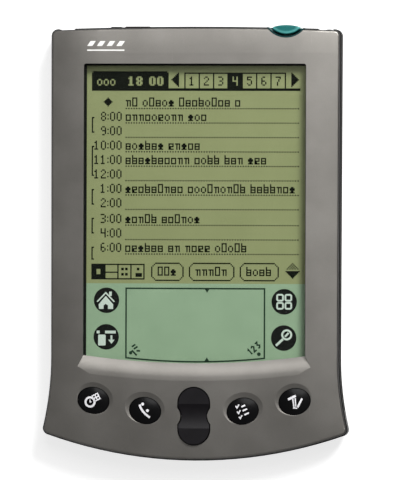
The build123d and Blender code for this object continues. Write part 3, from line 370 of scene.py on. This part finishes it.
finishes = {
    shell: ("front_shell", "rear_shell"),
    edge_black: ("mid_frame", "left_rail", "right_rail"),
    display: ("lcd_front_polariser",),
    glass: ("touch_glass",),
    film: ("touch_film",),
    key_black: (
        "calendar_button", "phone_button", "task_button", "note_button", "stylus_cap", "stylus_tip",
    ),
    rocker_black: ("scroll_rocker", "contrast_button", "reset_button"),
    teal: ("power_button",),
    bright_metal: ("stylus_barrel", "reset_pin", "rocker_pin", "board_screws", "dome_switches"),
    gold: ("dock_contacts",),
    can: ("crystal", "backup_capacitor", "speaker", "reset_switch", "power_switch", "contrast_switch"),
    chip: ("processor_chip", "memory_chip", "flash_chip", "power_chip", "dock_connector"),
    cream: ("flex_connectors", "battery_connector"),
    foil: ("battery_cell",),
    tape: ("battery_adhesive", "dome_sheet"),
    bead: ("front_adhesive", "rear_adhesive"),
    foam: ("screen_gasket",),
    pane: ("lcd_front_glass", "lcd_rear_glass"),
    mirror_foil: ("lcd_rear_polariser",),
    lamp: ("backlight_panel",),
    ferrite: ("backlight_inductor",),
    infrared: ("ir_window", "ir_transceiver"),
    red_lead: ("battery_lead_red",),
    black_lead: ("battery_lead_black",),
    amber: ("lcd_flex",),
    amber_wide: ("touch_flex",),
    board: ("main_board",),
    print_green: ("writing_area_print",),
}
for finish, names in finishes.items():
    material = getattr(finish, "material", finish)
    for name in names:
        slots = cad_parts[name].data.materials
        slots.clear()
        slots.append(material)


# ---------------------------------------------------------------- mesh helpers
def add_piece(name, mesh, finish, body):
    """Puts a finished bmesh into the scene as a piece that rides on a body."""
    data = bpy.data.meshes.new(name)
    bmesh.ops.recalc_face_normals(mesh, faces=mesh.faces[:])
    mesh.to_mesh(data)
    mesh.free()
    data.transform(Matrix.Scale(MM, 4))
    data.materials.append(getattr(finish, "material", finish))
    piece = bpy.data.objects.new(name, data)
    bpy.context.collection.objects.link(piece)
    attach(piece, body)
    return piece


def rectangle(x0, y0, x1, y1):
    return [(x0, y0), (x1, y0), (x1, y1), (x0, y1)]


def arc(cx, cy, radius, start=0.0, end=360.0, steps=36):
    """Points on a circle from one angle to another, in degrees."""
    return [
        (
            cx + radius * math.cos(math.radians(start + (end - start) * i / steps)),
            cy + radius * math.sin(math.radians(start + (end - start) * i / steps)),
        )
        for i in range(steps + (end - start < 360))
    ]


def rounded(x0, y0, x1, y1, radius):
    """A rectangle with round corners."""
    return (
        arc(x1 - radius, y0 + radius, radius, 270, 360, 8)
        + arc(x1 - radius, y1 - radius, radius, 0, 90, 8)
        + arc(x0 + radius, y1 - radius, radius, 90, 180, 8)
        + arc(x0 + radius, y0 + radius, radius, 180, 270, 8)
    )


def stroke(points, width, closed=False):
    """Quads that follow a line of points, mitred where it bends."""
    count = len(points)
    sides = []
    for i, (x, y) in enumerate(points):
        before = points[i - 1] if i or closed else None
        after = points[(i + 1) % count] if i < count - 1 or closed else None
        normals = []
        for a, b in ((before, (x, y)), ((x, y), after)):
            if a and b:
                run = Vector((b[0] - a[0], b[1] - a[1])).normalized()
                normals.append(Vector((-run.y, run.x)))
        middle = sum(normals, Vector((0, 0))).normalized()
        reach = width / 2 / max(0.4, middle.dot(normals[0]))
        across = middle * reach
        sides.append(((x + across.x, y + across.y), (x - across.x, y - across.y)))
    spans = range(count if closed else count - 1)
    return [
        [sides[i][0], sides[i][1], sides[(i + 1) % count][1], sides[(i + 1) % count][0]] for i in spans
    ]


def turned(shapes, angle, cx=0.0, cy=0.0):
    """Shapes turned about the origin by an angle in degrees, then moved to a centre."""
    c, s = math.cos(math.radians(angle)), math.sin(math.radians(angle))
    return [[(cx + x * c - y * s, cy + x * s + y * c) for x, y in shape] for shape in shapes]


def plates(shapes, bottom, top):
    """Flat prisms with the given outlines."""
    mesh = bmesh.new()
    for shape in shapes:
        low = [mesh.verts.new((x, y, bottom)) for x, y in shape]
        high = [mesh.verts.new((x, y, top)) for x, y in shape]
        mesh.faces.new(low[::-1])
        mesh.faces.new(high)
        for i in range(len(shape)):
            j = (i + 1) % len(shape)
            mesh.faces.new((low[i], low[j], high[j], high[i]))
    return mesh


def surface_of(name):
    """A function that gives a node's upper surface height at a point, in millimetres."""
    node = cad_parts[name].data
    corners = [v.co / MM for v in node.vertices]
    tree = BVHTree.FromPolygons(corners, [p.vertices[:] for p in node.polygons])

    def height(x, y):
        hit = tree.ray_cast(Vector((x, y, 30)), Vector((0, 0, -1)))[0]
        return hit.z if hit else 0.0

    return height


def draped(shapes, height, lift, thickness, cell=0.3):
    """Thin printed shapes that lie on a curved surface."""
    mesh = bmesh.new()
    for shape in shapes:
        mesh.faces.new([mesh.verts.new((x, y, 0)) for x, y in shape])
    bmesh.ops.triangulate(mesh, faces=mesh.faces[:])
    for _ in range(4):
        long_edges = [e for e in mesh.edges if e.calc_length() > cell]
        if not long_edges:
            break
        bmesh.ops.subdivide_edges(mesh, edges=long_edges, cuts=1)
        bmesh.ops.triangulate(mesh, faces=mesh.faces[:])
    for vertex in mesh.verts:
        vertex.co.z = height(vertex.co.x, vertex.co.y) + lift
    rim = [e for e in mesh.edges if e.is_boundary]
    made = bmesh.ops.duplicate(mesh, geom=mesh.verts[:] + mesh.edges[:] + mesh.faces[:])
    below = {a: b for a, b in made["vert_map"].items()}
    for vertex in (v for v in made["geom"] if isinstance(v, bmesh.types.BMVert)):
        vertex.co.z -= thickness
    bmesh.ops.reverse_faces(mesh, faces=[f for f in made["geom"] if isinstance(f, bmesh.types.BMFace)])
    for edge in rim:
        a, b = edge.verts
        mesh.faces.new((a, b, below[b], below[a]))
    return mesh


# ---------------------------------------------------------------- what the display shows
# a sign's seven rows from the top, each the four dots of a hexadecimal digit
DIGITS = {
    "0": "6999996", "1": "4C4444E", "2": "691248F", "3": "E11611E", "4": "999F111",
    "5": "F8E1196", "6": "688E996", "7": "F122444", "8": "6996996", "9": "6997116",
    ":": "0080080",
}
# signs that look like writing from afar and mean nothing
TEXTURE_MARKS = ("00F999F", "00F9F9F", "F99999F", "00F5555", "006FF6F", "00F9FCF", "88F9F9F", "0069996")
screen = [[0] * DOTS for _ in range(DOTS)]


def fill(x0, y0, x1, y1, value=1):
    """Sets the dots of a block. Dot 0, 0 is the display's upper left corner."""
    for y in range(max(0, y0), min(DOTS, y1)):
        for x in range(max(0, x0), min(DOTS, x1)):
            screen[y][x] = value


def stamp(pattern, x, y, value=1, bold=False):
    """One 4 by 7 sign from its rows in hexadecimal."""
    for row, code in enumerate(pattern):
        for column in range(4):
            if int(code, 16) >> (3 - column) & 1:
                fill(x + column, y + row, x + column + 1 + bold, y + row + 1, value)


def number(text, x, y, value=1, bold=False):
    """A row of digits from x on."""
    for sign in text:
        stamp(DIGITS[sign], x, y, value, bold)
        x += 2 if sign == ":" else 5 + bold


def filler(x, y, words, end, value=1, bold=False):
    """Blocks of meaningless signs, in place of words, from x up to end."""
    for length in words:
        for _ in range(length):
            if x + 4 > end:
                return
            stamp(random.choice(TEXTURE_MARKS), x, y, value, bold)
            x += 5 + bold
        x += 3


def frame_box(x0, y0, x1, y1, round_corner=0):
    """The outline of a box, one dot thick."""
    fill(x0 + round_corner, y0, x1 - round_corner, y0 + 1)
    fill(x0 + round_corner, y1 - 1, x1 - round_corner, y1)
    fill(x0, y0 + round_corner, x0 + 1, y1 - round_corner)
    fill(x1 - 1, y0 + round_corner, x1, y1 - round_corner)
    for step in range(1, round_corner):
        for x, y in (
            (x0 + step, y0 + round_corner - step), (x1 - 1 - step, y0 + round_corner - step),
            (x0 + step, y1 - 1 - round_corner + step), (x1 - 1 - step, y1 - 1 - round_corner + step),
        ):
            fill(x, y, x + 1, y + 1)


# title tab, week boxes and the rule under them
fill(1, 0, 58, 1)
fill(0, 1, 59, 14)
filler(4, 4, (3,), 24, 0)
number("18", 28, 4, 0, True)
number("00", 44, 4, 0, True)
fill(0, 13, DOTS, 15)
for row in range(11):
    width = abs(row - 5)
    fill(61 + width, 1 + row, 67, 2 + row)
    fill(153, 1 + row, 159 - width, 2 + row)
frame_box(71, 1, 149, 14)
for day in range(7):
    left = 71 + 11 * day
    fill(left, 1, left + 1, 14)
    if day == 3:
        fill(left, 1, left + 12, 14)
    number(str(day + 1), left + 4, 4, int(day != 3))

# the day's rows: hour, entry, dotted rule
ROWS = [
    ("", (2, 5, 8, 3), 115), ("8:00", (9, 4), 88), ("9:00", (), 0), ("10:00", (6, 7), 84),
    ("11:00", (10, 4, 3, 4), 137), ("12:00", (), 0), ("1:00", (9, 9, 9), 158), ("2:00", (), 0),
    ("3:00", (5, 7), 84), ("4:00", (), 0), ("6:00", (6, 2, 4, 7), 122),
]
for index, (hour, words, end) in enumerate(ROWS):
    rule = 28 + 11 * index + index // 8
    if hour:
        number(hour, 24 - 5 * (len(hour) - 1) - 2, rule - 8)
    filler(26, rule - 8, words, end)
    for x in range(26, DOTS, 2):
        fill(x, rule, x + 1, rule + 1)
for step in range(-3, 4):
    fill(12 + step, 20 + abs(step), 13 + step, 27 - abs(step))
for head, foot in ((35, 47), (57, 80), (90, 102), (112, 124), (134, 144)):
    fill(0, head, 1, foot)
    fill(0, head, 2, head + 1)
    fill(0, foot - 1, 2, foot)

# view boxes, buttons and arrows along the foot
for box in range(4):
    frame_box(10 * box, 147, 10 * box + 11, 159)
fill(0, 147, 11, 159)
fill(4, 151, 7, 155, 0)
fill(11, 153, 20, 154)
for x, y in ((23, 150), (23, 154), (26, 150), (26, 154)):
    fill(x, y, x + 2, y + 2)
fill(34, 154, 39, 157)
fill(35, 150, 37, 152)
for left, right, words in ((46, 71, (3,)), (75, 110, (5,)), (114, 144, (4,))):
    frame_box(left, 146, right, 160, 3)
    filler(left + 5, 149, words, right - 3)
for row in range(6):
    for x in range(154 - row, 155 + row):
        fill(x, 145 + row, x + 1, 146 + row, (x + row) % 2)
        fill(x, 157 - row, x + 1, 158 - row)


def lit_runs(line):
    """The first and last-plus-one dots of each lit stretch of a row."""
    edges = [x for x in range(DOTS + 1) if (x < DOTS and line[x]) != (x > 0 and line[x - 1])]
    return set(zip(edges[::2], edges[1::2]))


cells = []
open_runs = {}
for y in range(DOTS + 1):
    runs = lit_runs(screen[y]) if y < DOTS else set()
    for first, last in [run for run in open_runs if run not in runs]:
        head = open_runs.pop((first, last))
        left, right = display_left + first * DOT, display_left + last * DOT
        cells.append(rectangle(left, display_head - y * DOT, right, display_head - head * DOT))
    for run in sorted(runs - set(open_runs)):
        open_runs[run] = y
picture_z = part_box("lcd_front_polariser")[1][2] / MM
dots = plates(cells, picture_z - 0.004, picture_z + 0.008)
add_piece("display_dots", dots, dot_dark, "case")

# ---------------------------------------------------------------- writing area: sheet and artwork
sheet_low, sheet_high = (Vector(corner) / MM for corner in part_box("writing_area_print"))
sheet_top = sheet_high.z - 0.03
ink_sink, disc_rise, sign_rise = 0.01, 0.012, 0.024
sheet_corner = 0.6
sheet_outline = rounded(sheet_low.x, sheet_low.y, sheet_high.x, sheet_high.y, sheet_corner)
sheet = plates([sheet_outline], sheet_low.z, sheet_top)
sheet_piece = add_piece("writing_sheet", sheet, print_green, "case")
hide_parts("writing_area_print")

# the field's frame, whose lower line bows, and a small triangle at the middle of both lines
field_half, field_head, field_foot, field_sag = 18.46, -11.9, -30.3, 1.0
field_line = 0.42
bow_steps = 24
field = [(field_half, field_head), (-field_half, field_head)]
for i in range(bow_steps + 1):
    x = -field_half + 2 * field_half * i / bow_steps
    field.append((x, field_foot - field_sag * (1 - (x / field_half) ** 2)))
lines = stroke(field, field_line, closed=True)
marker_x, marker_half, marker_height = 3.15, 0.7, 1.1
marker_base = field_foot - 0.9
for base, tip in ((field_head, field_head - marker_height), (marker_base, marker_base + marker_height)):
    lines.append([(marker_x - marker_half, base), (marker_x + marker_half, base), (marker_x, tip)])

# the fan of strokes at the lower left and the numbers at the lower right, each with its dot
fan_strokes = (
    [(-0.9, -0.5), (-0.55, 0.6)], [(-0.1, -0.6), (0.25, 0.55)],
    [(0.75, -0.5), (1.5, 0.1)], [(-0.3, -1.2), (1.6, -1.4)],
)
for path in fan_strokes:
    lines += turned(stroke(path, 0.46), -40, -15.9, -27.6)
lines.append(arc(-17.2, -29.0, 0.46, steps=20))
strokes_123 = (
    [[(-1.5, 0.5), (-1.2, 0.8), (-1.2, -0.8)]],
    [[(-0.4, 0.5), (0.0, 0.8), (0.4, 0.4), (-0.4, -0.75), (0.45, -0.75)]],
    [[(1.1, 0.75), (1.8, 0.75), (1.35, 0.1), (1.85, -0.3), (1.45, -0.8), (1.05, -0.7)]],
)
for digit in strokes_123:
    for path in digit:
        lines += turned(stroke(path, 0.4), 42, 15.6, -27.8)
lines.append(arc(17.0, -29.2, 0.5, steps=20))
artwork = plates(lines, sheet_top - ink_sink, sheet_top + ink_sink)
add_piece("writing_lines", artwork, print_dark, "case")

# black mask under the glass, along the window's sides and head: partly the real dark border, partly painted
# shade for the shadow the window's wall casts on the display
film_low, film_high = (Vector(corner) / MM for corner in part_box("touch_film"))
film_margin = 1.5  # the film's edge lies this far outside the window
window_left, window_right = film_low.x + film_margin, film_high.x - film_margin
window_head = film_high.y - film_margin
mask_under = 0.4  # reach of the mask under the face
mask_left_width, mask_head_width, mask_right_width = 0.5, 0.5, 0.4
mask_head, mask_foot = window_head - mask_head_width, sheet_low.y + 0.2
mask_left, mask_right = window_left - mask_under, window_right + mask_under
mask_and_painted_shade = [
    rectangle(mask_left, mask_head, mask_right, window_head + mask_under),
    rectangle(mask_left, mask_foot, window_left + mask_left_width, mask_head),
    rectangle(window_right - mask_right_width, mask_foot, mask_right, mask_head),
]
mask_and_painted_shade_mesh = plates(mask_and_painted_shade, sheet_high.z - 0.002, sheet_high.z + 0.012)
add_piece("window_mask_and_painted_shade", mask_and_painted_shade_mesh, print_black, "case")

# round icons: where each is, its disc and its sign
spots = {
    "home": (-23.7, -15.1), "menu": (-23.75, -24.8), "sums": (23.7, -15.3), "find": (23.6, -24.9),
}
disc_radius = 3.38
discs = [arc(x, y, disc_radius, steps=64) for x, y in spots.values()]
disc_mesh = plates(discs, sheet_top - ink_sink, sheet_top + disc_rise)
add_piece("icon_discs", disc_mesh, print_black, "case")


def moved(shapes, spot):
    return turned(shapes, 0.0, *spots[spot])


# body of the house on both sides of its door, roof and chimney
home = [
    [(-2.0, -2.3), (-0.78, -2.3), (-0.78, -1.35), (-0.2, -0.95), (-0.2, 1.15), (-2.1, -1.1)],
    [(0.4, -2.3), (1.75, -2.3), (1.8, -1.1), (-0.2, 1.15), (-0.2, -0.95), (0.4, -1.35)],
    rectangle(0.7, 1.15, 1.4, 2.3),
]
home += stroke([(-2.5, -0.4), (-0.2, 2.0), (2.1, -0.4)], 0.36)
menu = [
    rectangle(-2.55, 0.9, -1.75, 1.65),
    rectangle(-0.3, 0.9, 2.55, 1.65),
    rounded(-2.15, -2.3, -0.15, 0.6, 0.3),
    rectangle(1.15, -0.85, 1.65, 0.4),
    [(0.55, -0.75), (2.25, -0.75), (1.4, -1.85)],
]
sums = []
for x in (-1.1, 1.1):
    for y in (-1.07, 1.07):
        ring = rounded(x - 0.78, y - 0.78, x + 0.78, y + 0.78, 0.4)
        sums += stroke(ring, 0.46, closed=True)
find = stroke(arc(0.8, 0.85, 1.2, steps=32), 0.5, closed=True)
find += stroke([(-0.2, -0.3), (-2.05, -2.0)], 0.62)
find += stroke([(0.35, 0.35), (1.3, 1.35)], 0.5)
pale = moved(home, "home") + moved(menu, "menu") + moved(sums, "sums") + moved(find, "find")
icon_mesh = plates(pale, sheet_top, sheet_top + sign_rise)
add_piece("icon_signs", icon_mesh, print_pale, "case")

# ---------------------------------------------------------------- printed signs on the keys
PRINT_THICKNESS = 0.03


def key_centre(name):
    low, high = (Vector(corner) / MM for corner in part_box(name))
    return (low.x + high.x) / 2, (low.y + high.y) / 2


def grid_sign():
    shapes = []
    for i in range(3):
        shapes += stroke([(-0.95, -0.8 + 0.8 * i), (0.95, -0.8 + 0.8 * i)], 0.3)
        shapes += stroke([(-0.8 + 0.8 * i, -0.95), (-0.8 + 0.8 * i, 0.95)], 0.3)
    return turned(shapes, 28, 0.75, 0.85)


# a clock with a page of days
calendar_sign = grid_sign() + stroke(arc(-0.85, -0.4, 1.22, steps=32), 0.55, closed=True)
calendar_sign += stroke([(-0.85, 0.25), (-0.85, -0.4), (-0.45, -0.4)], 0.26)

# a handset and two dots
phone_sign = stroke([(-1.45, 1.6), (-1.15, 0.75), (-0.6, -0.15), (0.15, -0.95), (1.3, -1.85)], 0.56)
phone_sign += [arc(-0.62, 1.72, 0.4, steps=20), arc(0.68, 0.0, 0.4, steps=20)]

# three lines, each with its tick
task_sign = []
for path in ([(-0.3, 1.15), (0.7, 1.6)], [(0.05, 0.1), (1.2, 0.6)], [(0.5, -1.0), (1.7, -0.4)]):
    task_sign += stroke(path, 0.42)
for path in (
    [(-1.85, 1.35), (-1.45, 0.85), (-0.95, 1.75)],
    [(-1.45, -0.1), (-1.05, -0.6), (-0.55, 0.3)],
    [(-0.95, -1.5), (-0.6, -1.95), (-0.1, -1.05)],
):
    task_sign += stroke(path, 0.34)

# a pad seen edge on and a pencil
note_sign = stroke([(-1.7, 0.55), (0.35, 1.55)], 0.62)
for path in ([(-0.45, 0.75), (-0.1, -1.6)], [(0.2, 0.95), (0.35, -1.3)], [(-0.35, -1.65), (0.75, -1.75)]):
    note_sign += stroke(path, 0.34)
note_sign += stroke([(2.0, 0.85), (0.85, -1.5)], 0.5)

key_signs = {
    "calendar_button": ("calendar_key", calendar_sign),
    "phone_button": ("phone_key", phone_sign),
    "task_button": ("task_key", task_sign),
    "note_button": ("note_key", note_sign),
}
for key, (body, shapes) in key_signs.items():
    placed = turned(shapes, 0.0, *key_centre(key))
    sign = draped(placed, surface_of(key), 0.012, PRINT_THICKNESS)
    add_piece(key.replace("button", "sign"), sign, soft_white, body)

# ---------------------------------------------------------------- plain mark on the face
# four lozenges over a bar
mark_foot, mark_head = 52.3, 53.6
lean, half_width = 0.25, 1.15
mark = [
    [(x - half_width, mark_foot), (x - lean, mark_head), (x + half_width, mark_head), (x + lean, mark_foot)]
    for x in (-27.6, -25.0, -22.4, -19.8)
]
mark.append(rectangle(-28.7, 51.0, -18.8, 51.35))
face_mark = draped(mark, surface_of("front_shell"), 0.006, PRINT_THICKNESS)
add_piece("face_mark", face_mark, mark_white, "case")

# ---------------------------------------------------------------- stage, light and camera
floor_mesh = bmesh.new()
bmesh.ops.create_grid(floor_mesh, x_segments=8, y_segments=8, size=1.5)
floor_data = bpy.data.meshes.new("floor")
floor_mesh.to_mesh(floor_data)
floor_mesh.free()
floor = bpy.data.objects.new("floor", floor_data)
floor.location.z = cad_low[2] - 0.05 * MM
bpy.context.collection.objects.link(floor)
floor_finish = grained("pale_floor", (178, 178, 178), (186, 186, 186), 30.0, (0.85, 0.95), 0.01)
floor_finish.shader.inputs["Emission Color"].default_value = (1, 1, 1, 1)
floor_finish.shader.inputs["Emission Strength"].default_value = 0.74
floor_data.materials.append(floor_finish.material)

world = bpy.data.worlds.new("studio")
world.use_nodes = True
world.node_tree.nodes["Background"].inputs["Color"].default_value = (1.0, 1.0, 1.0, 1)
world.node_tree.nodes["Background"].inputs["Strength"].default_value = 0.16
bpy.context.scene.world = world


def soft_light(name, place, aim, size, power):
    data = bpy.data.lights.new(name, "AREA")
    data.shape = "DISK"
    data.size = size
    data.energy = power
    lamp_object = bpy.data.objects.new(name, data)
    lamp_object.location = place
    lamp_object.rotation_euler = (Vector(aim) - Vector(place)).to_track_quat("-Z", "Y").to_euler()
    bpy.context.collection.objects.link(lamp_object)


soft_light("key_light", (0.7, 1.05, 1.0), (0, 0, 0), 0.6, 34.0)
soft_light("near_light", (0.06, 0.195, 0.36), (0.03, 0.13, 0), 0.3, 0.58)

CAMERA_TURN = math.radians(6.7)  # the camera stands a little to the object's right
CAMERA_ROLL = math.radians(0.2)
CAMERA_REACH = 2.0
VIEW_HEIGHT = 127.3 * MM  # what the picture's height covers
SENSOR_WIDTH = 36.0
right = Vector((math.cos(CAMERA_TURN), 0, -math.sin(CAMERA_TURN)))
back = Vector((math.sin(CAMERA_TURN), 0, math.cos(CAMERA_TURN)))
target = right * 0.37 * MM + Vector((0, 0.97 * MM, 0)) + back * 5 * MM
camera_data = bpy.data.cameras.new("camera")
camera_data.sensor_width = SENSOR_WIDTH
camera_data.lens = SENSOR_WIDTH * CAMERA_REACH / VIEW_HEIGHT
camera_data.clip_start, camera_data.clip_end = 0.05, 20.0
camera = bpy.data.objects.new("camera", camera_data)
camera.matrix_world = (
    Matrix.Translation(target + back * CAMERA_REACH)
    @ Matrix((right, Vector((0, 1, 0)), back)).transposed().to_4x4()
    @ Matrix.Rotation(CAMERA_ROLL, 4, "Z")
)
bpy.context.collection.objects.link(camera)
bpy.context.scene.camera = camera
bpy.context.scene.view_settings.view_transform = "Standard"
